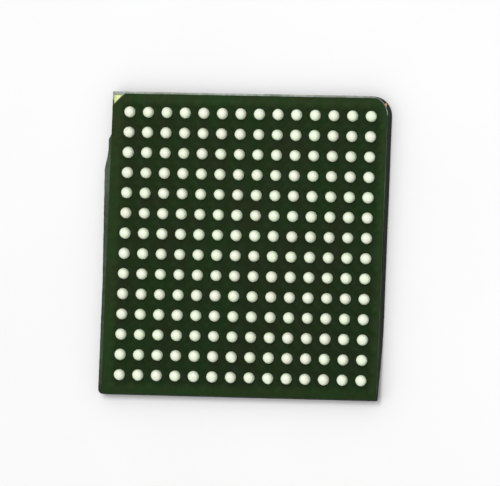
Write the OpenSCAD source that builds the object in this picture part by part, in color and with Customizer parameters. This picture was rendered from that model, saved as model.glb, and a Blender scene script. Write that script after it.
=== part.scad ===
// Ball grid array chip: a moulded cap over a thin two-layer laminate, 14 x 14 solder balls.
// It lies on the marking face of its cap with the balls up. X runs east, Y north, Z to the balls.
// The origin is the middle of the marking face. Lengths are millimetres.

/* [Ball grid] */
// Distance between neighbouring balls
pitch = 0.8; // [0.72:0.01:0.85]
// Widest diameter of a solder ball, as reflowed onto its land
ball_d = 0.46; // [0.42:0.01:0.5]
// Wetted circle that the solder mask leaves open on each land
opening_d = 0.38; // [0.32:0.01:0.4]

/* [Saw cuts] */
// Outer ball centres to the west edge
edge_w = 1.07; // [0.9:0.01:1.2]
// Outer ball centres to the east edge
edge_e = 0.63; // [0.6:0.01:1.2]
// Outer ball centres to the north edge
edge_n = 0.82; // [0.76:0.01:1.2]
// Outer ball centres to the south edge
edge_s = 0.78; // [0.6:0.01:1.2]
// Radius left on the rubbed north-east corner
corner_ne = 0.8; // [0.1:0.02:1]
// Radius left on the rubbed south-west corner
corner_sw = 0.2; // [0.05:0.01:0.4]
// Depth of the chipped length of the west edge, at its north end
chip_depth = 0.23; // [0.15:0.01:0.25]
// Length of the chip from the north edge to its ledge
chip_run = 1.7; // [0.5:0.05:2.5]
// Depth of the ledge south of the chip
ledge_depth = 0.13; // [0.02:0.01:0.14]
// Length of the ledge
ledge_run = 0.5; // [0.2:0.05:1]
// Length over which the ledge fades out
chip_fade = 0.7; // [0.3:0.05:2]
// How far the west cut wanders inward south of the chip
west_wander = 0.1; // [0:0.01:0.2]
// Length over which it wanders
wander_run = 4.5; // [2:0.1:5]
// Moulding broken off the foot of the east wall, length north from the south corner
break_run = 2.8; // [1:0.1:4]
// Width of the break across the marking face at the corner
break_w = 0.24; // [0.05:0.01:0.3]

/* [Layers] */
// Moulded cap, from the marking face to the solder mask
cap_h = 0.36; // [0.32:0.01:0.6]
// Laminate core
core_t = 0.1; // [0.06:0.01:0.3]
// Copper on either face of the core
copper_t = 0.015; // [0.01:0.001:0.025]
// Solder mask over the copper
mask_cover = 0.02; // [0.01:0.001:0.03]
// Outer ball centres to the north and south edges of the printed solder mask
mask_edge = 0.74; // [0.6:0.01:0.74]
// Outer ball centres to its west edge, and to the east edge before the saw cut it
mask_side = 0.83; // [0.7:0.01:0.84]

/* [Corner mark] */
// Leg of the plated triangle beside ball A1
mark_leg = 0.36; // [0.2:0.01:0.44]
// Triangle to the two edges of the printed mask
mark_inset = 0.07; // [0.05:0.01:0.13]
// Bare laminate between the triangle's long side and the mask
mark_gap = 0.03; // [0.02:0.005:0.05]
// Dimple in the marking face over the A1 corner, diameter
dimple_d = 0.9; // [0.4:0.05:1.2]
// Dimple depth
dimple_depth = 0.05; // [0.02:0.01:0.08]
// Dimple centre to the corner's two edges
dimple_inset = 1.3; // [1.1:0.05:2]

/* [Ball-side copper] */
// Copper land under a ball
land_d = 0.46; // [0.42:0.01:0.48]
// Land round a via
via_land_d = 0.26; // [0.2:0.01:0.3]
// Plated via through the core
via_d = 0.1; // [0.06:0.01:0.15]
// Neck from a ball's land to its via
neck_w = 0.12; // [0.06:0.01:0.16]

/* [Die and wiring] */
// Side of the square die
die_side = 5; // [4:0.1:5.2]
// Die thickness
die_t = 0.12; // [0.08:0.01:0.16]
// Adhesive film under the die
attach_t = 0.02; // [0.01:0.005:0.03]
// Die edge to the row of bond pads
pad_inset = 0.08; // [0.05:0.01:0.15]
// Spacing of the bond pads along the die's edge
pad_pitch = 0.17; // [0.1:0.01:0.18]
// Bond wire
wire_d = 0.025; // [0.018:0.001:0.03]
// Bonded ball on a die pad, diameter
bond_d = 0.06; // [0.045:0.005:0.08]
// Bonded ball height
bond_h = 0.022; // [0.02:0.001:0.03]
// Neck that rises from the bonded ball, diameter
neck_d = 0.032; // [0.03:0.001:0.04]
// Height over the die at which the wire leaves its neck
loop_h = 0.07; // [0.06:0.005:0.09]
// Bond finger on the laminate, width
finger_w = 0.1; // [0.08:0.01:0.12]
// Bond finger length
finger_l = 0.26; // [0.2:0.01:0.28]
// Gap between the end fingers of two sides at a corner
finger_gap = 0.05; // [0.03:0.01:0.06]
// Bare laminate round the ring and the fingers in the mask's bond window
window_gap = 0.05; // [0.03:0.01:0.08]
// Traces on the die side
trace_w = 0.06; // [0.04:0.005:0.08]
// Width of the power ring between the die and the bond fingers
ring_w = 0.4; // [0.3:0.01:0.42]
// Ground paddle beyond the ring of vias that it joins
paddle_lap = 0.3; // [0.2:0.01:0.34]

/* [Hidden] */
$fn = 32;
ROWS = ["a", "b", "c", "d", "e", "f", "g", "h", "j", "k", "l", "m", "n", "p"];
COUNT = len(ROWS);      // rows, and balls in a row
PADDLE_RING = 3;        // via rings joined by the ground paddle
POWER_RING = 4;         // via ring joined by the power ring
SIDE_COLUMNS = 4;       // via columns each side of the middle that reach bond fingers

span = (COUNT - 1) * pitch;
body_w = span + edge_w + edge_e;
body_l = span + edge_n + edge_s;
grid_x = (edge_w - edge_e) / 2;
grid_y = (edge_s - edge_n) / 2;

mask_t = copper_t + mask_cover;
z_die_copper = cap_h + mask_cover;
z_core = z_die_copper + copper_t;
z_ball_copper = z_core + core_t;
z_land = z_ball_copper + copper_t;
z_attach = cap_h - attach_t;
z_die = z_attach - die_t;
ball_rise = sqrt(pow(ball_d / 2, 2) - pow(opening_d / 2, 2)); // ball centre over its land
mask_half_x = span / 2 + mask_side;
mask_half_y = span / 2 + mask_edge;

finger_pitch = pitch / 3;
r_finger = SIDE_COLUMNS * pitch + finger_pitch + finger_w / 2 + finger_gap;
window_in = POWER_RING * pitch - ring_w / 2 - window_gap;
window_out = r_finger + finger_l + window_gap;
paddle_half = PADDLE_RING * pitch + paddle_lap;
hair = 0.005;
neck_over = 0.016; // neck above the wire's axis

function spot(i) = (i - (COUNT - 1) / 2) * pitch;
function out(v) = v + sign(v) * pitch / 2;
// the corner mark takes the place of ball A1's via, and the rubbed corner that of the last row's first ball
function has_via(i, j) = j < COUNT - 1 || (i > 0 && i < COUNT - 1);

// ---- outline shared by every sawn layer ----

module outline() {
    w = body_w / 2;
    l = body_l / 2;
    y_ledge = l - chip_run - 2 * (chip_depth - ledge_depth);
    y_sound = y_ledge - ledge_run - chip_fade;
    difference() {
        polygon([
            [-w + chip_depth, l], [w, l], [w, -l], [-w + west_wander, -l],
            [-w + west_wander, y_sound - wander_run], [-w, y_sound], [-w + ledge_depth, y_sound + chip_fade],
            [-w + ledge_depth, y_ledge], [-w + chip_depth, l - chip_run]
        ]);
        translate([w - corner_ne, l - corner_ne]) corner_waste(corner_ne);
        translate([-w + west_wander + corner_sw, -l + corner_sw]) rotate(180) corner_waste(corner_sw);
    }
}

module corner_waste(r) {
    difference() {
        square(2 * r);
        circle(r);
    }
}

module layer(z, t) {
    translate([0, 0, z]) linear_extrude(t) children();
}

module on_grid() {
    translate([grid_x, grid_y]) children();
}

module at_ball(i, j) {
    translate([grid_x + spot(i), grid_y + spot(j), z_land + ball_rise]) children();
}

// ---- laminate ----

module strip(a, b, w) {
    d = b - a;
    translate(a) rotate(atan2(d[1], d[0])) translate([0, -w / 2]) square([norm(d), w]);
}

module dog_bones() {
    for (i = [0 : COUNT - 1], j = [0 : COUNT - 1]) {
        ball = [spot(i), spot(j)];
        via = [out(ball[0]), out(ball[1])];
        union() {
            translate(ball) circle(d = land_d);
            if (has_via(i, j)) {
                strip(ball, via, neck_w);
                translate(via) circle(d = via_land_d);
            }
        }
    }
}

module corner_triangle(inset, leg) {
    // right angle at the printed mask's north-west corner, moved in by inset
    c = [-mask_half_x + inset, mask_half_y - inset];
    polygon([c, c + [leg, 0], c - [0, leg]]);
}

module mark() {
    // the saw may cut the mark, as it cuts the laminate
    intersection() {
        outline();
        on_grid() corner_triangle(mark_inset, mark_leg);
    }
}

module mask_field() {
    intersection() {
        outline();
        on_grid() square([2 * mask_half_x, 2 * mask_half_y], center = true);
    }
}

module laminate_core() {
    color("darkkhaki") difference() {
        layer(z_core, core_t) outline();
        translate([grid_x, grid_y, z_core - core_t]) via_posts(3 * core_t);
    }
}

module via_posts(h) {
    for (i = [0 : COUNT - 1], j = [0 : COUNT - 1])
        if (has_via(i, j)) translate([out(spot(i)), out(spot(j)), 0]) cylinder(h = h, d = via_d);
}

module vias() {
    color("peru") translate([grid_x, grid_y, z_core]) via_posts(core_t);
}

module ball_side_copper() {
    color("orange") layer(z_ball_copper, copper_t) on_grid() dog_bones();
}

module solder_mask_ball_side() {
    color("darkgreen") difference() {
        layer(z_ball_copper, mask_t) mask_field();
        layer(z_core, core_t + copper_t) on_grid() dog_bones();
        layer(z_core, core_t + 2 * mask_t)
            on_grid() corner_triangle(0, mark_leg + 2 * mark_inset + sqrt(2) * mark_gap);
        for (i = [0 : COUNT - 1], j = [0 : COUNT - 1]) at_ball(i, j) sphere(d = ball_d);
    }
}

module pin_a1_mark() {
    color("gold") layer(z_ball_copper, copper_t) mark();
}

// ---- die side of the laminate ----

module side_net(m, ring) {
    // ring 0 runs straight to its via, ring 1 and 2 pass it on one side and then turn in
    side = ring == 0 ? 0 : ring == 1 ? -sign(m) : sign(m);
    via = [m * pitch, (POWER_RING + 1 + ring) * pitch];
    x = m * pitch + side * finger_pitch;
    turn = [x, via[1] - abs(x - via[0])];
    union() {
        translate([x - finger_w / 2, r_finger]) square([finger_w, finger_l]);
        strip([x, r_finger + finger_l / 2], ring == 0 ? via : turn, trace_w);
        if (ring > 0) strip(turn - [0, trace_w / 4], via, trace_w);
        translate(via) circle(d = via_land_d);
    }
}

module corner_pour() {
    near = (SIDE_COLUMNS + 1) * pitch - via_land_d / 2;
    far = (COUNT / 2) * pitch + via_land_d / 2;
    translate([near, near]) square(far - near);
}

module die_side_art() {
    square(2 * paddle_half, center = true);
    difference() {
        square(2 * POWER_RING * pitch + ring_w, center = true);
        square(2 * POWER_RING * pitch - ring_w, center = true);
    }
    for (q = [0 : 3]) rotate(90 * q) {
        corner_pour();
        for (k = [1 : SIDE_COLUMNS], s = [-1, 1], ring = [0 : 2]) side_net(s * k, ring);
    }
}

module bond_window() {
    difference() {
        square(2 * window_out, center = true);
        square(2 * window_in, center = true);
    }
}

module die_side_copper() {
    color("orange") layer(z_die_copper, copper_t) on_grid() die_side_art();
}

module die_side_mask_field() {
    difference() {
        mask_field();
        on_grid() bond_window();
    }
}

module solder_mask_die_side() {
    color("darkgreen") difference() {
        layer(cap_h, mask_t) die_side_mask_field();
        layer(z_die_copper, core_t) on_grid() die_side_art();
    }
}

// ---- die, adhesive and wires ----

module die() {
    color("silver") layer(z_die, die_t) on_grid() square(die_side, center = true);
}

module die_attach() {
    color("ivory") layer(z_attach, attach_t) on_grid() square(die_side, center = true);
}

module wire(pad, finger) {
    // ball bond, neck and a straight run down to the finger; the marking face is up on a die in place
    run = norm(finger - pad);
    drop = z_die_copper - z_die + loop_h;
    translate([pad[0], pad[1], z_die - bond_h]) cylinder(h = bond_h, d = bond_d);
    translate([pad[0], pad[1], z_die - loop_h - neck_over]) cylinder(h = loop_h + neck_over, d = neck_d);
    translate([pad[0], pad[1], z_die - loop_h])
        rotate([0, 0, atan2(finger[1] - pad[1], finger[0] - pad[0])])
        rotate([0, atan2(run, drop), 0])
        cylinder(h = norm([run, drop]) + 3 * wire_d, d = wire_d);
}

module wire_set() {
    y_pad = die_side / 2 - pad_inset;
    difference() {
        for (q = [0 : 3]) rotate([0, 0, 90 * q]) {
            for (k = [1 : SIDE_COLUMNS], s = [-1, 1], f = [-1 : 1])
                wire([s * (3 * k + f) * pad_pitch, y_pad],
                     [s * (3 * k + f) * finger_pitch, r_finger + finger_l / 3]);
            for (f = [-1 : 1])
                wire([f * pad_pitch, y_pad], [f * finger_pitch, POWER_RING * pitch]);
        }
        layer(z_die_copper, cap_h) square(2 * window_out, center = true);
    }
}

module bond_wires() {
    color("gold") translate([grid_x, grid_y, 0]) wire_set();
}

// ---- moulded cap ----

module mould_cap() {
    color([0.12, 0.12, 0.13]) difference() {
        union() {
            layer(0, cap_h) outline();
            layer(cap_h - hair, mask_t + hair) difference() {
                outline();
                die_side_mask_field();
            }
        }
        layer(z_die_copper, core_t) on_grid() die_side_art();
        layer(z_die, cap_h) on_grid() square(die_side, center = true);
        translate([grid_x, grid_y, 0]) wire_set();
        translate([-body_w / 2 + dimple_inset, body_l / 2 - dimple_inset, -cap_h])
            cylinder(h = cap_h + dimple_depth, d = dimple_d);
        translate([body_w / 2, -body_l / 2, 0]) corner_break();
    }
}

module corner_break() {
    // a slanted break through the corner's three edges, from the marking face up to the mask
    tip = [break_w, -break_run, -cap_h];
    polyhedron(
        points = [tip, tip - [4 * break_w, 0, 0], tip + [0, 4 * break_run, 0], tip + [0, 0, 4 * cap_h]],
        faces = [[0, 2, 1], [0, 3, 2], [0, 1, 3], [1, 2, 3]]
    );
}

// ---- solder balls ----

module ball_row(i) {
    // each ball wets its land in a flat circle, and the mask meets it all round
    color("gainsboro") for (j = [0 : COUNT - 1])
        at_ball(i, j) difference() {
            sphere(d = ball_d);
            translate([0, 0, -ball_rise - ball_d]) cube(2 * ball_d, center = true);
        }
}

mould_cap();
solder_mask_die_side();
die_side_copper();
laminate_core();
vias();
ball_side_copper();
solder_mask_ball_side();
pin_a1_mark();
die();
die_attach();
bond_wires();
for (i = [0 : COUNT - 1])
    ball_row(i);
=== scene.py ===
import math
import random

import bmesh
import bpy
from mathutils import Matrix, Vector, noise
from mathutils.geometry import delaunay_2d_cdt


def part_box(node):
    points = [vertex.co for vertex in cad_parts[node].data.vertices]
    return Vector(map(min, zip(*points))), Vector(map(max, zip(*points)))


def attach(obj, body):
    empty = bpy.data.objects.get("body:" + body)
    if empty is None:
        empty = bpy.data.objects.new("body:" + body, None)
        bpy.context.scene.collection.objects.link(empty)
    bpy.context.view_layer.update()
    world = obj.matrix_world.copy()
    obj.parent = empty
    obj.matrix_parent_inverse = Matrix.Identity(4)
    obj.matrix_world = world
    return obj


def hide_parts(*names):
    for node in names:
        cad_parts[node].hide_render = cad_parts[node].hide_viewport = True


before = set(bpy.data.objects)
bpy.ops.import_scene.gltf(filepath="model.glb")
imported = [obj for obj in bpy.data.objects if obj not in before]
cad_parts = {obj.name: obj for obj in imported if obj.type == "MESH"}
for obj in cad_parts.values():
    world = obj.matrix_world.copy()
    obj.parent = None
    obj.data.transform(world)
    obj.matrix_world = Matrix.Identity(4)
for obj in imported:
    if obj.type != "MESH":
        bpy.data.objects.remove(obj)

MM = 0.001
ROWS = "abcdefghjklmnp"
COUNT = len(ROWS)

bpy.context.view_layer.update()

# ---------------------------------------------------------------- sizes read from the frame

core_low, core_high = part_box("laminate_core")
mask_low, mask_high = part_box("solder_mask_ball_side")
mark_low, mark_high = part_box("pin_a1_mark")
row_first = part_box("ball_row_a")
row_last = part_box("ball_row_p")

HALF_W = (core_high.x - core_low.x) / 2
HALF_L = (core_high.y - core_low.y) / 2
BALL_R = (row_first[1].x - row_first[0].x) / 2
GRID_X = (row_first[0].x + row_last[1].x) / 2
GRID_Y = (row_first[0].y + row_first[1].y) / 2
PITCH = (row_last[0].x - row_first[0].x) / (COUNT - 1)
Z_LAND, Z_BALL_TOP = row_first[0].z, row_first[1].z
Z_BALL = Z_BALL_TOP - BALL_R
Z_CORE_LOW, Z_CORE_TOP = core_low.z, core_high.z
Z_MASK_TOP = mask_high.z
MASK_HALF_X = GRID_X - mask_low.x
MASK_HALF_Y = mask_high.y - GRID_Y
MARK_LEG = mark_high.y - mark_low.y
MARK_INSET = MASK_HALF_Y - (mark_high.y - GRID_Y)

# the same sizes as the construction file
CORNER_NE, CORNER_SW = 0.8 * MM, 0.2 * MM
CHIP_DEPTH, CHIP_RUN, CHIP_FADE = 0.23 * MM, 1.7 * MM, 0.7 * MM
LEDGE_DEPTH, LEDGE_RUN = 0.13 * MM, 0.5 * MM
WEST_WANDER, WANDER_RUN = 0.1 * MM, 4.5 * MM
BREAK_W, BREAK_RUN, BREAK_H = 0.24 * MM, 2.8 * MM, 0.36 * MM
LAND_R, VIA_LAND_R, NECK_W = 0.23 * MM, 0.13 * MM, 0.12 * MM
MARK_GAP = 0.03 * MM
DIMPLE_R, DIMPLE_DEPTH, DIMPLE_INSET = 0.45 * MM, 0.05 * MM, 1.3 * MM

SAG = 0.011 * MM          # how far the mask sinks between the copper


def spot(i):
    return (i - (COUNT - 1) / 2) * PITCH


# ---------------------------------------------------------------- shader helpers


def new_material(name):
    m = bpy.data.materials.new(name)
    m.use_nodes = True
    nt = m.node_tree
    bsdf = nt.nodes["Principled BSDF"]
    return m, nt, bsdf


def math_node(nt, op, a, b=None):
    n = nt.nodes.new("ShaderNodeMath")
    n.operation = op
    for k, v in enumerate((a, b)):
        if v is None:
            continue
        if isinstance(v, (int, float)):
            n.inputs[k].default_value = v
        else:
            nt.links.new(v, n.inputs[k])
    return n.outputs[0]


def noise_tex(nt, vec, scale, detail=3.0, rough=0.55, distortion=0.0):
    n = nt.nodes.new("ShaderNodeTexNoise")
    n.inputs["Scale"].default_value = scale
    n.inputs["Detail"].default_value = detail
    n.inputs["Roughness"].default_value = rough
    n.inputs["Distortion"].default_value = distortion
    nt.links.new(vec, n.inputs["Vector"])
    return n.outputs["Fac"]


def ramp(nt, fac, stops):
    n = nt.nodes.new("ShaderNodeValToRGB")
    r = n.color_ramp
    while len(r.elements) < len(stops):
        r.elements.new(0.5)
    for e, (p, c) in zip(r.elements, stops):
        e.position = p
        e.color = (*c, 1) if len(c) == 3 else c
    nt.links.new(fac, n.inputs["Fac"])
    return n.outputs["Color"]


def grey(v):
    return (v, v, v)


def mix_colour(nt, fac, a, b, mode="MIX"):
    n = nt.nodes.new("ShaderNodeMix")
    n.data_type = "RGBA"
    n.blend_type = mode
    for key, kind, v in (("Factor", "VALUE", fac), ("A", "RGBA", a), ("B", "RGBA", b)):
        socket = [s for s in n.inputs if s.name == key and s.type == kind][0]
        if isinstance(v, (int, float)):
            socket.default_value = v
        elif isinstance(v, tuple):
            socket.default_value = (*v, 1) if len(v) == 3 else v
        else:
            nt.links.new(v, socket)
    return [s for s in n.outputs if s.type == "RGBA"][0]


def object_coords(nt):
    n = nt.nodes.new("ShaderNodeTexCoord")
    return n.outputs["Object"]


def split(nt, vec):
    n = nt.nodes.new("ShaderNodeSeparateXYZ")
    nt.links.new(vec, n.inputs[0])
    return n.outputs


def combine(nt, v):
    """The same value in all three channels of a colour."""
    n = nt.nodes.new("ShaderNodeCombineColor")
    for s in n.inputs:
        nt.links.new(v, s)
    return n.outputs[0]


def scaled(nt, vec, s):
    n = nt.nodes.new("ShaderNodeVectorMath")
    n.operation = "MULTIPLY"
    nt.links.new(vec, n.inputs[0])
    n.inputs[1].default_value = s
    return n.outputs[0]


def edge_fade(nt, v, middle, half):
    """1 within half of middle, falling to 0 over the next FADE."""
    away = math_node(nt, "ABSOLUTE", math_node(nt, "SUBTRACT", v, middle))
    fade = math_node(nt, "DIVIDE", math_node(nt, "SUBTRACT", half + FADE, away), FADE)
    fade.node.use_clamp = True
    return fade


def bump(nt, bsdf, height, distance, strength=1.0, before=None):
    n = nt.nodes.new("ShaderNodeBump")
    n.inputs["Distance"].default_value = distance
    n.inputs["Strength"].default_value = strength
    nt.links.new(height, n.inputs["Height"])
    if before is not None:
        nt.links.new(before, n.inputs["Normal"])
    nt.links.new(n.outputs["Normal"], bsdf.inputs["Normal"])
    return n.outputs["Normal"]


# ---------------------------------------------------------------- materials

BALL_FIELD_SHADE = 0.34          # how much painted shade darkens the mask between the balls
FIELD_REACH = (COUNT - 1) / 2 * PITCH + 0.25 * MM     # how far the painted shade reaches from the grid's centre
FADE = 0.25 * MM          # and the width over which it ends


def mask_material():
    m, nt, bsdf = new_material("green_solder_mask")
    co = object_coords(nt)
    x, y, z = split(nt, co)
    blotch = noise_tex(nt, co, 800, 2.0, 0.5)
    fleck = noise_tex(nt, co, 5200, 4.0, 0.6)
    brown, green = (0.0205, 0.0340, 0.0100), (0.0155, 0.0425, 0.0098)
    colour = ramp(nt, blotch, [(0.36, green), (0.50, (0.0180, 0.0385, 0.0100)), (0.66, brown)])
    # the mask reads a little lighter over copper, which is where it stands highest
    over_copper = math_node(nt, "DIVIDE", math_node(nt, "SUBTRACT", z, Z_MASK_TOP - SAG), SAG)
    over_copper.node.use_clamp = True
    lift = math_node(nt, "ADD", math_node(nt, "MULTIPLY", over_copper, 0.12), 0.95)
    # and painted light: a little brighter to the north and west, the side the light comes from
    painted_light_slope = math_node(nt, "ADD", math_node(nt, "MULTIPLY", x, -9.0), math_node(nt, "MULTIPLY", y, 14.0))
    tone = math_node(nt, "MULTIPLY", math_node(nt, "ADD", painted_light_slope, 1.0), lift)
    # painted shade: the mask is darkened between the balls, where they shade it
    field_x = edge_fade(nt, x, GRID_X, FIELD_REACH)
    field_y = edge_fade(nt, y, GRID_Y, FIELD_REACH)
    painted_shade = math_node(nt, "MULTIPLY", math_node(nt, "MULTIPLY", field_x, field_y), -BALL_FIELD_SHADE)
    tone = math_node(nt, "MULTIPLY", tone, math_node(nt, "ADD", painted_shade, 1.0))
    colour = mix_colour(nt, 1.0, colour, combine(nt, tone), "MULTIPLY")
    speckle = ramp(nt, fleck, [(0.35, grey(0.6)), (0.65, grey(1.35))])
    colour = mix_colour(nt, 0.25, colour, speckle, "MULTIPLY")
    nt.links.new(colour, bsdf.inputs["Base Color"])
    rough = ramp(nt, noise_tex(nt, co, 2600, 3.0), [(0.3, grey(0.42)), (0.7, grey(0.56))])
    nt.links.new(rough, bsdf.inputs["Roughness"])
    bsdf.inputs["Specular IOR Level"].default_value = 0.05
    bump(nt, bsdf, fleck, 0.0025 * MM, 0.7)
    return m


def laminate_material():
    """Bare resin and glass, with painted light and shade on the rim: painted shade dark at the south
    rim, grey-green at the west, painted light pale at the north.
    """
    m, nt, bsdf = new_material("bare_laminate")
    co = object_coords(nt)
    weave = noise_tex(nt, co, 4200, 5.0, 0.65)
    rim_shade_and_light = nt.nodes.new("ShaderNodeAttribute")
    rim_shade_and_light.attribute_name = "rim_shade_and_light"
    # dark stops carry the painted shade at the south rim, the pale stop the painted light at the north
    stops = [(0.0, (0.014, 0.022, 0.015)), (0.2, (0.048, 0.070, 0.042)), (0.4, (0.085, 0.115, 0.080)),
             (1.0, (0.42, 0.46, 0.41))]
    base = ramp(nt, rim_shade_and_light.outputs["Fac"], stops)
    fibres = ramp(nt, weave, [(0.3, grey(0.7)), (0.55, grey(1.0)), (0.75, grey(1.45))])
    colour = mix_colour(nt, 1.0, base, fibres, "MULTIPLY")
    nt.links.new(colour, bsdf.inputs["Base Color"])
    bsdf.inputs["Roughness"].default_value = 0.75
    bsdf.inputs["Specular IOR Level"].default_value = 0.1
    bump(nt, bsdf, weave, 0.006 * MM, 0.9)
    return m


def mould_material():
    m, nt, bsdf = new_material("black_mould_compound")
    co = object_coords(nt)
    grain = noise_tex(nt, co, 16000, 4.0, 0.6)
    cloud = noise_tex(nt, co, 700, 3.0)
    saw = noise_tex(nt, scaled(nt, co, (1, 1, 14)), 2300, 3.0, 0.6)
    grain_stops = [(0.3, (0.006, 0.0068, 0.0055)), (0.62, (0.010, 0.011, 0.009))]
    grain_stops += [(0.8, (0.026, 0.027, 0.024))]
    cloud_stops = [(0.35, (0.007, 0.008, 0.0065)), (0.7, (0.012, 0.013, 0.011))]
    colour = mix_colour(nt, 0.5, ramp(nt, grain, grain_stops), ramp(nt, cloud, cloud_stops))
    nt.links.new(colour, bsdf.inputs["Base Color"])
    nt.links.new(ramp(nt, cloud, [(0.3, grey(0.58)), (0.7, grey(0.72))]), bsdf.inputs["Roughness"])
    bsdf.inputs["Specular IOR Level"].default_value = 0.12
    first = bump(nt, bsdf, grain, 0.0035 * MM, 0.8)
    bump(nt, bsdf, saw, 0.004 * MM, 0.6, first)
    return m


def solder_material():
    m, nt, bsdf = new_material("pale_solder")
    co = object_coords(nt)
    z = split(nt, co)[2]
    tint_attr = nt.nodes.new("ShaderNodeAttribute")
    tint_attr.attribute_name = "tint"
    crystal = noise_tex(nt, co, 9000, 4.0, 0.6)
    patch = noise_tex(nt, co, 3000, 2.0)
    # the green tint of the pale solder is painted reflection of the green mask
    pale_stops = [(0.3, (0.80, 0.93, 0.70)), (0.6, (0.86, 0.96, 0.75)), (0.8, (0.85, 0.91, 0.76))]
    pale = ramp(nt, patch, pale_stops)
    warm = mix_colour(nt, tint_attr.outputs["Fac"], pale, (0.86, 0.84, 0.72))
    # painted shade darkens the foot of each ball, where it meets the mask
    foot = math_node(nt, "DIVIDE", math_node(nt, "SUBTRACT", z, Z_MASK_TOP), 0.10 * MM)
    foot.node.use_clamp = True
    colour = mix_colour(nt, foot, (0.22, 0.25, 0.17), warm)
    facets = ramp(nt, crystal, [(0.3, grey(0.8)), (0.55, grey(1.0))])
    colour = mix_colour(nt, 0.2, colour, facets, "MULTIPLY")
    nt.links.new(colour, bsdf.inputs["Base Color"])
    bsdf.inputs["Metallic"].default_value = 0.25
    nt.links.new(ramp(nt, crystal, [(0.3, grey(0.34)), (0.7, grey(0.5))]), bsdf.inputs["Roughness"])
    bump(nt, bsdf, crystal, 0.003 * MM, 0.6)
    return m


def gold_material():
    m, nt, bsdf = new_material("soft_gold_plate")
    co = object_coords(nt)
    n1 = noise_tex(nt, co, 7000, 3.0)
    stops = [(0.3, (0.58, 0.66, 0.22)), (0.55, (0.74, 0.83, 0.38)), (0.75, (0.82, 0.90, 0.52))]
    nt.links.new(ramp(nt, n1, stops), bsdf.inputs["Base Color"])
    bsdf.inputs["Metallic"].default_value = 0.45
    nt.links.new(ramp(nt, n1, [(0.3, grey(0.5)), (0.7, grey(0.36))]), bsdf.inputs["Roughness"])
    bump(nt, bsdf, n1, 0.002 * MM, 0.7)
    return m


def plain_inner(name, a, b, metallic, rough, scale):
    """A two-tone procedural finish for the pieces sealed inside the package."""
    m, nt, bsdf = new_material(name)
    co = object_coords(nt)
    n = noise_tex(nt, co, scale, 4.0)
    nt.links.new(ramp(nt, n, [(0.35, a), (0.65, b)]), bsdf.inputs["Base Color"])
    gloss = ramp(nt, n, [(0.3, grey(rough - 0.06)), (0.7, grey(rough + 0.06))])
    nt.links.new(gloss, bsdf.inputs["Roughness"])
    bsdf.inputs["Metallic"].default_value = metallic
    bump(nt, bsdf, n, 0.001 * MM, 0.4)
    return m


MASK = mask_material()
LAMINATE = laminate_material()
MOULD = mould_material()
SOLDER = solder_material()
GOLD = gold_material()
COPPER = plain_inner("etched_copper", (0.62, 0.30, 0.17), (0.78, 0.44, 0.28), 1.0, 0.38, 6000)
SILICON = plain_inner("polished_silicon", (0.20, 0.21, 0.24), (0.28, 0.29, 0.32), 0.3, 0.22, 3000)
FILM = plain_inner("adhesive_film", (0.60, 0.57, 0.48), (0.74, 0.70, 0.60), 0.0, 0.6, 5000)

for node, material in (
    ("solder_mask_die_side", MASK), ("die_side_copper", COPPER),
    ("ball_side_copper", COPPER), ("vias", COPPER),
    ("die", SILICON), ("die_attach", FILM), ("bond_wires", GOLD), ("laminate_core", LAMINATE),
    ("mould_cap", MOULD), ("pin_a1_mark", GOLD), ("solder_mask_ball_side", MASK),
    *[("ball_row_" + r, SOLDER) for r in ROWS],
):
    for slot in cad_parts[node].material_slots:
        slot.material = material

# ---------------------------------------------------------------- outline and mesh helpers


def arc(cx, cy, r, a0, a1, steps):
    turns = [math.radians(a0 + (a1 - a0) * k / steps) for k in range(steps + 1)]
    return [(cx + r * math.cos(t), cy + r * math.sin(t)) for t in turns]


def circle(cx, cy, r, steps):
    turns = [2 * math.pi * k / steps for k in range(steps)]
    return [(cx + r * math.cos(t), cy + r * math.sin(t)) for t in turns]


def sawn_outline():
    """The package outline, counter-clockwise from the north-west corner, as in the construction file."""
    w, l = HALF_W, HALF_L
    y_ledge = l - CHIP_RUN - 2 * (CHIP_DEPTH - LEDGE_DEPTH)
    y_sound = y_ledge - LEDGE_RUN - CHIP_FADE
    pts = [
        (-w + CHIP_DEPTH, l), (-w + CHIP_DEPTH, l - CHIP_RUN), (-w + LEDGE_DEPTH, y_ledge),
        (-w + LEDGE_DEPTH, y_sound + CHIP_FADE), (-w, y_sound), (-w + WEST_WANDER, y_sound - WANDER_RUN),
    ]
    pts += arc(-w + WEST_WANDER + CORNER_SW, -l + CORNER_SW, CORNER_SW, 180, 270, 6)
    pts += [(w, -l)]
    pts += arc(w - CORNER_NE, l - CORNER_NE, CORNER_NE, 0, 90, 14)
    return pts


def densify(pts, step):
    out = []
    for k, a in enumerate(pts):
        b = pts[(k + 1) % len(pts)]
        n = max(1, round(math.dist(a, b) / step))
        out += [(a[0] + (b[0] - a[0]) * t / n, a[1] + (b[1] - a[1]) * t / n) for t in range(n)]
    return out


def inward(pts):
    """Unit vector into the outline at each point."""
    out = []
    for k in range(len(pts)):
        a, b = Vector(pts[k - 1]), Vector(pts[(k + 1) % len(pts)])
        t = (b - a).normalized()
        out.append(Vector((-t.y, t.x)))
    return out


def roughened(pts, depth, scale, seed, inset=0.0):
    """Moves the outline in by inset and by a noise of up to depth, never outward."""
    moved = []
    for p, n in zip(pts, inward(pts)):
        v = 0.5 + 0.5 * noise.noise(Vector((p[0] * scale, p[1] * scale, seed)))
        v = min(1.0, max(0.0, v))
        q = Vector(p) + n * (inset + depth * v)
        moved.append((q.x, q.y))
    return moved


def object_from(name, verts, faces, material, smooth_angle=None):
    me = bpy.data.meshes.new(name)
    me.from_pydata(verts, [], faces)
    me.validate()
    me.update()
    me.materials.append(material)
    ob = bpy.data.objects.new(name, me)
    bpy.context.scene.collection.objects.link(ob)
    if smooth_angle is not None:
        me.shade_smooth()
        me.set_sharp_from_angle(angle=math.radians(smooth_angle))
    return ob


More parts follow.
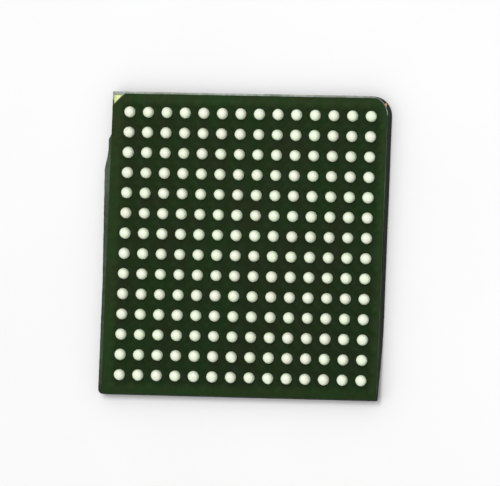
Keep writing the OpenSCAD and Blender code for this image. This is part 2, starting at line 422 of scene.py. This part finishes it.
def slab(name, rings, material, angle=40):
    """A closed body from rings of equal length, each a list of 3-D points, with flat ends."""
    n = len(rings[0])
    verts = [p for ring in rings for p in ring]
    faces = []
    for k in range(len(rings) - 1):
        for i in range(n):
            j = (i + 1) % n
            faces.append((k * n + i, k * n + j, (k + 1) * n + j, (k + 1) * n + i))
    faces.append(tuple(reversed(range(n))))
    top = (len(rings) - 1) * n
    faces.append(tuple(range(top, top + n)))
    return object_from(name, verts, faces, material, angle)


# ---------------------------------------------------------------- moulded cap


def break_face(y, z):
    """East limit of the moulding where it has broken away along the foot of the east wall."""
    left = 1 - (y + HALF_L) / BREAK_RUN - z / BREAK_H
    rough = 0.02 * MM * noise.noise(Vector((y * 3500, z * 9000, 4.0)))
    return HALF_W - max(0.0, BREAK_W * left + rough) if left > -0.02 else HALF_W


def make_cap():
    """Moulded cap: moulded marking face with a pin-one dimple, sawn side walls with faint saw lines."""
    base = densify(sawn_outline(), 0.14 * MM)
    n_in = inward(base)
    # heights of the rings, and how far the worn foot of the wall draws each in
    levels = [(0.0, 0.022 * MM), (0.006 * MM, 0.010 * MM), (0.02 * MM, 0.003 * MM)]
    levels += [((0.02 + 0.034 * k) * MM, 0.0) for k in range(1, 11)] + [(Z_CORE_LOW, 0.0)]
    verts, faces = [], []
    n = len(base)
    for z, inset in levels:
        for p, d in zip(base, n_in):
            chatter = noise.noise(Vector((p[0] * 900, p[1] * 900, z * 9000)))
            depth = inset + (0.006 + 0.006 * chatter) * MM * (1 if z else 0)
            x, y = p[0] + d.x * depth, p[1] + d.y * depth
            verts.append((min(x, break_face(y, z)), y, z))
    for k in range(len(levels) - 1):
        for i in range(n):
            j = (i + 1) % n
            faces.append((k * n + i, k * n + j, (k + 1) * n + j, (k + 1) * n + i))
    top = (len(levels) - 1) * n
    faces.append(tuple(range(top, top + n)))
    # marking face with the dimple, triangulated between the rim and the dimple's rings
    dimple_x, dimple_y = -HALF_W + DIMPLE_INSET, HALF_L - DIMPLE_INSET
    rim2 = [Vector((verts[i][0], verts[i][1])) for i in range(n)]
    rings = [(1.0, 0.0), (0.965, 0.12), (0.93, 0.75), (0.88, 0.97), (0.5, 1.0)]
    steps = 40
    pts, edges = list(rim2), [(i, (i + 1) % n) for i in range(n)]
    ring_z = {}
    for r, depth in rings:
        s = len(pts)
        for k, p in enumerate(circle(dimple_x, dimple_y, DIMPLE_R * r, steps)):
            pts.append(Vector(p))
            ring_z[s + k] = depth * DIMPLE_DEPTH
        edges += [(s + k, s + (k + 1) % steps) for k in range(steps)]
    out_v, _, out_f, orig, _, _ = delaunay_2d_cdt(pts, edges, [], 1, 1e-9)
    index = []
    for k, v in enumerate(out_v):
        src = orig[k][0] if orig[k] else None
        if src is not None and src < n:
            index.append(src)
        else:
            verts.append((v.x, v.y, ring_z.get(src, 0.0)))
            index.append(len(verts) - 1)
    for f in out_f:
        faces.append(tuple(index[i] for i in reversed(f)))
    ob = object_from("cap_body", verts, faces, MOULD, 35)
    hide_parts("mould_cap")
    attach(ob, "root")
    return ob


# ---------------------------------------------------------------- laminate core with its frayed rim


def painted_rim_light_and_tone(x, y):
    """Painted light and shade on the laminate rim: painted light palest at the north edge and its
    rounded corner, painted shade darkest at the south, grey-green with a lighter band at the west.
    """
    north = y > HALF_L - 0.3 * MM
    corner = x > HALF_W - CORNER_NE * 0.9 and y > HALF_L - CORNER_NE * 0.9
    if north or corner:
        return 0.85 + 0.3 * noise.noise(Vector((x * 1100, y * 1100, 2.0)))
    if y < -HALF_L + 0.3 * MM:
        return 0.04
    broad = max(0.0, 1 - abs(y - 2.6 * MM) / (1.6 * MM))
    return 0.2 + 0.2 * broad + 0.1 * noise.noise(Vector((x * 900, y * 900, 6.0)))


def nicked(ring, depth, width):
    """Cuts the small nick that the south edge has under the twelfth ball row."""
    x_nick = GRID_X + spot(11) + 0.25 * PITCH
    out = []
    for x, y in ring:
        cut = depth * max(0.0, 1 - abs(x - x_nick) / width)
        out.append((x, y + cut) if y < -HALF_L + 0.1 * MM else (x, y))
    return out


def make_core():
    base = densify(sawn_outline(), 0.07 * MM)
    z0, z1 = Z_CORE_LOW, Z_CORE_TOP
    zs = [z0, z0 + (z1 - z0) * 0.3, z0 + (z1 - z0) * 0.65, z1 - 0.008 * MM, z1, z1]
    rings = []
    for k, z in enumerate(zs):
        bevel = (0.006 if k in (0, 4) else 0.0) * MM
        ring = roughened(base, 0.022 * MM, 5200, 3.0 + k * 0.8, bevel)
        if k == len(zs) - 1:
            # the top face closes on a smaller copy of the outline, under the mask
            ring = [(x * 0.93, y * 0.93) for x, y in base]
        elif k > 1:
            ring = nicked(ring, 0.05 * MM, 0.07 * MM)
        rings.append([(x, y, z) for x, y in ring])
    ob = slab("laminate_body", rings, LAMINATE, 30)
    # per point, the rim's painted light and shade over its grey-green tone
    attr = ob.data.attributes.new("rim_shade_and_light", "FLOAT", "POINT")
    attr.data.foreach_set("value", [painted_rim_light_and_tone(v.co.x, v.co.y) for v in ob.data.vertices])
    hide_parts("laminate_core")
    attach(ob, "root")
    return ob


# ---------------------------------------------------------------- ball-side solder mask with its relief


def dog_bone(i, j, grow, arcs=20):
    """Outline of a land, its neck and its via land, grown by grow, counter-clockwise."""
    bx, by = spot(i), spot(j)
    sx, sy = (1 if bx > 0 else -1), (1 if by > 0 else -1)
    ang = math.atan2(sy, sx)
    length = PITCH / 2 * math.sqrt(2)
    land, via, half = LAND_R + grow, VIA_LAND_R + grow, NECK_W / 2 + grow
    if i in (0, COUNT - 1) and j == COUNT - 1:
        return circle(bx, by, land, arcs)
    a1 = math.asin(half / land)
    a2 = math.asin(half / via)
    pts = []
    for k in range(arcs + 1):
        t = a1 + (2 * math.pi - 2 * a1) * k / arcs
        pts.append((land * math.cos(t), land * math.sin(t)))
    m = arcs * 2 // 3
    for k in range(m + 1):
        t = -math.pi + a2 + (2 * math.pi - 2 * a2) * k / m
        pts.append((length + via * math.cos(t), via * math.sin(t)))
    c, s = math.cos(ang), math.sin(ang)
    return [(bx + x * c - y * s, by + x * s + y * c) for x, y in pts]


def make_mask():
    """The printed mask: openings at the balls, raised over the copper, with a soft printed edge."""
    flank = 0.016 * MM
    lip = BALL_R * 0.875
    w, l = HALF_W, HALF_L
    # printed field cut by the saw on the east side and at the rounded corner
    east = w - GRID_X - 0.004 * MM
    west, north, south = -MASK_HALF_X, MASK_HALF_Y, -MASK_HALF_Y
    chip_x = -w + CHIP_DEPTH + 0.012 * MM - GRID_X
    chip_y = l - CHIP_RUN - GRID_Y
    r = CORNER_NE
    corner = arc(w - GRID_X - r, l - GRID_Y - r, r - 0.006 * MM, 0, 90, 14)
    corner = [(min(x, east), min(y, north)) for x, y in corner]
    field = [(chip_x, north), (chip_x, chip_y), (west, chip_y - 0.03 * MM), (west, south), (east, south)]
    field += corner
    field = densify(field, 0.1 * MM)
    edge_rings = []
    for inset, drop in ((0.0, 1.0), (0.012 * MM, 0.45), (0.035 * MM, 0.0)):
        edge_rings.append((roughened(field, 0.014 * MM, 2600, 11.0, inset), drop))
    pts, edges, height = [], [], []

    def add_loop(loop, z):
        s = len(pts)
        pts.extend(Vector(p) for p in loop)
        height.extend([z] * len(loop))
        edges.extend((s + k, s + (k + 1) % len(loop)) for k in range(len(loop)))

    z_low = Z_MASK_TOP - SAG
    for ring, drop in edge_rings:
        add_loop(ring, z_low - drop * (z_low - Z_CORE_TOP) * 0.999)
    for i in range(COUNT):
        for j in range(COUNT):
            add_loop(circle(spot(i), spot(j), lip, 28), Z_MASK_TOP)
            add_loop(dog_bone(i, j, 0.0), Z_MASK_TOP)
            add_loop(dog_bone(i, j, flank), z_low)
    # the opening round the corner mark
    c = (-MASK_HALF_X, MASK_HALF_Y)
    leg = MARK_LEG + 2 * MARK_INSET + MARK_GAP * math.sqrt(2)
    s = len(pts)
    steps = 12
    for k in range(steps + 1):
        t = k / steps
        pts.append(Vector((c[0] + leg * t, c[1] - leg * (1 - t))))
        height.append(z_low - 0.3 * SAG)
    edges.extend((s + k, s + k + 1) for k in range(steps))

    out_v, _, out_f, orig, _, _ = delaunay_2d_cdt(pts, edges, [], 1, 1e-10)
    zmap = []
    for k, v in enumerate(out_v):
        if orig[k]:
            zmap.append(height[orig[k][0]])
        else:
            zmap.append(z_low)

    def in_opening(x, y):
        i = round(x / PITCH + (COUNT - 1) / 2)
        j = round(y / PITCH + (COUNT - 1) / 2)
        if 0 <= i < COUNT and 0 <= j < COUNT:
            if math.hypot(x - spot(i), y - spot(j)) < lip * 0.995:
                return True
        # triangle of the mark
        return x > c[0] and y < c[1] and (x - c[0]) + (c[1] - y) < leg * 0.999

    verts = [(v.x + GRID_X, v.y + GRID_Y, z) for v, z in zip(out_v, zmap)]
    faces = []
    for f in out_f:
        mx = sum(out_v[k].x for k in f) / len(f)
        my = sum(out_v[k].y for k in f) / len(f)
        if not in_opening(mx, my):
            faces.append(tuple(f))
    # walls down to the land level round every opening and the field's edge
    bm = bmesh.new()
    bv = [bm.verts.new(p) for p in verts]
    for f in faces:
        try:
            bm.faces.new([bv[k] for k in f])
        except ValueError:
            pass
    bmesh.ops.delete(bm, geom=[v for v in bm.verts if not v.link_faces], context="VERTS")
    bm.normal_update()
    rim = [e for e in bm.edges if e.is_boundary]
    made = bmesh.ops.extrude_edge_only(bm, edges=rim)
    for v in [g for g in made["geom"] if isinstance(g, bmesh.types.BMVert)]:
        v.co.z = Z_CORE_TOP + 0.0002 * MM
    bmesh.ops.recalc_face_normals(bm, faces=bm.faces)
    me = bpy.data.meshes.new("mask_face")
    bm.to_mesh(me)
    bm.free()
    me.materials.append(MASK)
    me.shade_smooth()
    me.set_sharp_from_angle(angle=math.radians(50))
    ob = bpy.data.objects.new("mask_face", me)
    bpy.context.scene.collection.objects.link(ob)
    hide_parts("solder_mask_ball_side")
    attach(ob, "root")
    return ob


# ---------------------------------------------------------------- corner mark


def make_mark():
    """Plated triangle with softly rounded corners and edges."""
    c = (-MASK_HALF_X + MARK_INSET, MASK_HALF_Y - MARK_INSET)
    tri = [c, (c[0], c[1] - MARK_LEG), (c[0] + MARK_LEG, c[1])]
    soft = []
    for k in range(3):
        p, a, b = Vector(tri[k]), Vector(tri[k - 1]), Vector(tri[(k + 1) % 3])
        for t in (0.0, 0.25, 0.5, 0.75, 1.0):
            e0, e1 = p + (a - p).normalized() * 0.03 * MM, p + (b - p).normalized() * 0.03 * MM
            soft.append(((1 - t) ** 2 * e0 + 2 * t * (1 - t) * p + t * t * e1)[:])
    soft = densify(soft, 0.05 * MM)
    rings = []
    for z, inset in ((Z_CORE_TOP, 0.0), (Z_LAND - 0.003 * MM, 0.002 * MM), (Z_LAND, 0.010 * MM)):
        ring = roughened(soft, 0.004 * MM, 6000, 5.0, inset)
        rings.append([(x + GRID_X, y + GRID_Y, z) for x, y in ring])
    ob = slab("corner_mark", rings, GOLD, 40)
    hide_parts("pin_a1_mark")
    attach(ob, "root")
    return ob


# ---------------------------------------------------------------- solder balls

# balls out of round: (row, number from the north): (direction of the lobe in degrees, its size)
ODD = {
    ("g", 13): (-50, 0.16), ("j", 14): (-70, 0.16), ("j", 12): (-60, 0.10), ("j", 1): (80, 0.06),
}


def ball_mesh(verts, faces, tints, i, j, rng):
    segs, rings = 26, 14
    cx, cy = GRID_X + spot(i), GRID_Y + spot(j)
    size = rng.uniform(0.955, 1.0)
    lean = rng.uniform(0.01, 0.06)
    turn = math.radians(-48 + rng.uniform(-25, 25))
    coin = rng.uniform(0.0, 0.02)
    tint = rng.random()
    tilt = (rng.uniform(-0.012, 0.012), rng.uniform(-0.012, 0.012))
    lobe = ODD.get((ROWS[i], COUNT - j))
    if lobe:
        aim = math.radians(lobe[0])
        toward = Vector((math.cos(aim), math.sin(aim), 0.25)).normalized()
    start = len(verts)
    rise = Z_BALL - Z_LAND
    t_max = math.acos(-rise / BALL_R)
    for a in range(rings + 1):
        t = t_max * a / rings
        for b in range(segs if a else 1):
            p = 2 * math.pi * b / segs
            d = Vector((math.sin(t) * math.cos(p), math.sin(t) * math.sin(p), math.cos(t)))
            free = min(1.0, (t_max - t) / 0.7)
            n = noise.noise(Vector((d.x * 1.6 + i * 7.3, d.y * 1.6 + j * 5.1, d.z * 1.6)))
            r = BALL_R * (1 + (size - 1) * free) * (1 - 0.018 * (0.5 + 0.5 * n) * free)
            r *= 1 - lean * (0.5 - 0.5 * math.cos(2 * (p - turn))) * math.sin(t) ** 2 * free
            if lobe:
                r *= 1 + lobe[1] * max(0.0, d.dot(toward)) ** 6 * free
            z = d.z * r
            z = min(z, BALL_R * (1 - coin))
            x = d.x * r + tilt[0] * (z + rise)
            y = d.y * r + tilt[1] * (z + rise)
            verts.append((cx + x, cy + y, Z_BALL + z))
            tints.append(tint)
    for b in range(segs):
        faces.append((start, start + 1 + b, start + 1 + (b + 1) % segs))
    for a in range(1, rings):
        s0, s1 = start + 1 + (a - 1) * segs, start + 1 + a * segs
        for b in range(segs):
            c = (b + 1) % segs
            faces.append((s0 + b, s1 + b, s1 + c, s0 + c))
    last = start + 1 + (rings - 1) * segs
    faces.append(tuple(last + b for b in reversed(range(segs))))


def make_ball_row(i):
    verts, faces, tints = [], [], []
    rng = random.Random(700 + i)
    for j in range(COUNT):
        ball_mesh(verts, faces, tints, i, j, rng)
    ob = object_from("balls_" + ROWS[i], verts, faces, SOLDER, 60)
    attr = ob.data.attributes.new("tint", "FLOAT", "POINT")
    attr.data.foreach_set("value", [t * 0.6 for t in tints])
    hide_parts("ball_row_" + ROWS[i])
    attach(ob, "root")
    return ob


make_cap()
make_core()
make_mask()
make_mark()
for row in range(COUNT):
    make_ball_row(row)

# ---------------------------------------------------------------- floor, light and camera


def make_floor():
    half = 0.6
    corners = [(-half, -half, 0), (half, -half, 0), (half, half, 0), (-half, half, 0)]
    ob = object_from("floor", corners, [(0, 1, 2, 3)], None)
    m, nt, bsdf = new_material("white_floor")
    co = object_coords(nt)
    n = noise_tex(nt, co, 120, 2.0)
    nt.links.new(ramp(nt, n, [(0.3, grey(0.93)), (0.7, grey(0.95))]), bsdf.inputs["Base Color"])
    bsdf.inputs["Roughness"].default_value = 0.9
    bsdf.inputs["Specular IOR Level"].default_value = 0.0
    ob.data.materials.clear()
    ob.data.materials.append(m)
    return ob


make_floor()

AMBIENT = 0.72            # strength of the white world on the object; what the camera sees of it is 1
world = bpy.data.worlds.new("studio")
bpy.context.scene.world = world
world.use_nodes = True
wt = world.node_tree
background = wt.nodes["Background"]
path = wt.nodes.new("ShaderNodeLightPath")
seen = math_node(wt, "MAXIMUM", path.outputs["Is Camera Ray"], path.outputs["Is Glossy Ray"])
seen = math_node(wt, "MAXIMUM", seen, path.outputs["Is Transmission Ray"])
strength = math_node(wt, "ADD", math_node(wt, "MULTIPLY", seen, 1 - AMBIENT), AMBIENT)
wt.links.new(strength, background.inputs["Strength"])
background.inputs["Color"].default_value = (1, 1, 1, 1)


def area(name, where, size, power):
    data = bpy.data.lights.new(name, "AREA")
    data.shape = "DISK"
    data.size = size
    data.energy = power
    ob = bpy.data.objects.new(name, data)
    ob.location = where
    ob.rotation_euler = (-Vector(where)).to_track_quat("-Z", "Y").to_euler()
    bpy.context.scene.collection.objects.link(ob)
    return ob


area("key", (0.012, 0.036, 0.144), 0.06, 0.075)

# camera: long lens, tipped 23.9 degrees toward the east side, rolled 7.5 degrees
TILT, TOWARD, ROLL = math.radians(23.9), math.radians(-5.7), math.radians(7.5)
VIEW_WIDTH = 19.7044 * MM                        # width of the view at the balls
AIM_RIGHT, AIM_UP = 0.1986 * MM, 0.1123 * MM     # from the grid's centre to the view's
DISTANCE = 0.7
u = Vector((math.cos(TOWARD), math.sin(TOWARD), 0))
v = Vector((-math.sin(TOWARD), math.cos(TOWARD), 0))
to_camera = math.sin(TILT) * u + math.cos(TILT) * Vector((0, 0, 1))
across = math.cos(TILT) * u - math.sin(TILT) * Vector((0, 0, 1))
right = math.cos(ROLL) * across + math.sin(ROLL) * v
up = -math.sin(ROLL) * across + math.cos(ROLL) * v
target = Vector((GRID_X, GRID_Y, Z_BALL)) + right * AIM_RIGHT + up * AIM_UP
eye = target + to_camera * DISTANCE
cam = bpy.data.cameras.new("camera")
cam.sensor_width = 36
cam.lens = cam.sensor_width * DISTANCE / VIEW_WIDTH
cam.clip_start, cam.clip_end = 0.01, 3.0
cam_ob = bpy.data.objects.new("camera", cam)
cam_ob.matrix_world = Matrix((
    (right.x, up.x, to_camera.x, eye.x),
    (right.y, up.y, to_camera.y, eye.y),
    (right.z, up.z, to_camera.z, eye.z),
    (0, 0, 0, 1),
))
bpy.context.scene.collection.objects.link(cam_ob)
bpy.context.scene.camera = cam_ob
bpy.context.scene.view_settings.view_transform = "Standard"
